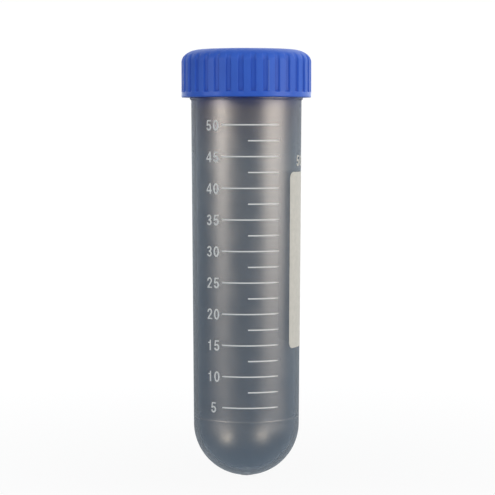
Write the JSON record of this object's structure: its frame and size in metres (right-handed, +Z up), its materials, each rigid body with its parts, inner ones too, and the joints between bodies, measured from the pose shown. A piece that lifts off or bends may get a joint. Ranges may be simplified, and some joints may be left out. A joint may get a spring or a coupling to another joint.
{
  "type": "test tube",
  "caption": "Round-bottom translucent plastic centrifuge tube with a printed volume scale, a writing panel and a ribbed screw cap with a plug seal.",
  "frame": {"origin": "lowest point of the round bottom, on the tube's axis", "axes": "+Z up along the tube's axis, -Y out of the front, where the printed scale faces, +X to the right of that front view, where the writing panel is"},
  "size_m": [0.0352, 0.0352, 0.1162],
  "materials": {
    "translucent_polypropylene": "natural, milky translucent, smooth moulded surface",
    "blue_polyethylene": "satin moulded, fine texture",
    "silicone": "soft, smooth",
    "white_ink": "screen-printed, matt"
  },
  "bodies": {
    "tube_body": {"tube": "translucent_polypropylene", "writing_panel": "white_ink", "full_line_05ml": "white_ink", "full_line_10ml": "white_ink", "full_line_15ml": "white_ink", "full_line_20ml": "white_ink", "full_line_25ml": "white_ink", "full_line_30ml": "white_ink", "full_line_35ml": "white_ink", "full_line_40ml": "white_ink", "full_line_45ml": "white_ink", "full_line_50ml": "white_ink", "half_line_07_5ml": "white_ink", "half_line_12_5ml": "white_ink", "half_line_17_5ml": "white_ink", "half_line_22_5ml": "white_ink", "half_line_27_5ml": "white_ink", "half_line_32_5ml": "white_ink", "half_line_37_5ml": "white_ink", "half_line_42_5ml": "white_ink", "half_line_47_5ml": "white_ink"},
    "seal_body": {"sealing_ring": "silicone"},
    "cap_body": {"screw_cap": "blue_polyethylene"}
  },
  "joints": [
    {"name": "cap_lift", "type": "slide", "parent": "tube_body", "child": "seal_body", "axis": [0, 0, 1], "range_m": [0, 0.0161]},
    {"name": "cap_turn", "type": "hinge", "parent": "seal_body", "child": "cap_body", "pos_m": [0, 0, 0.1033], "axis": [0, 0, 1], "range_deg": [0, 1440]}
  ],
  "couplings": [
    {"joint": "cap_lift", "follows": "cap_turn", "m_per_rad": 0.00063662}
  ]
}
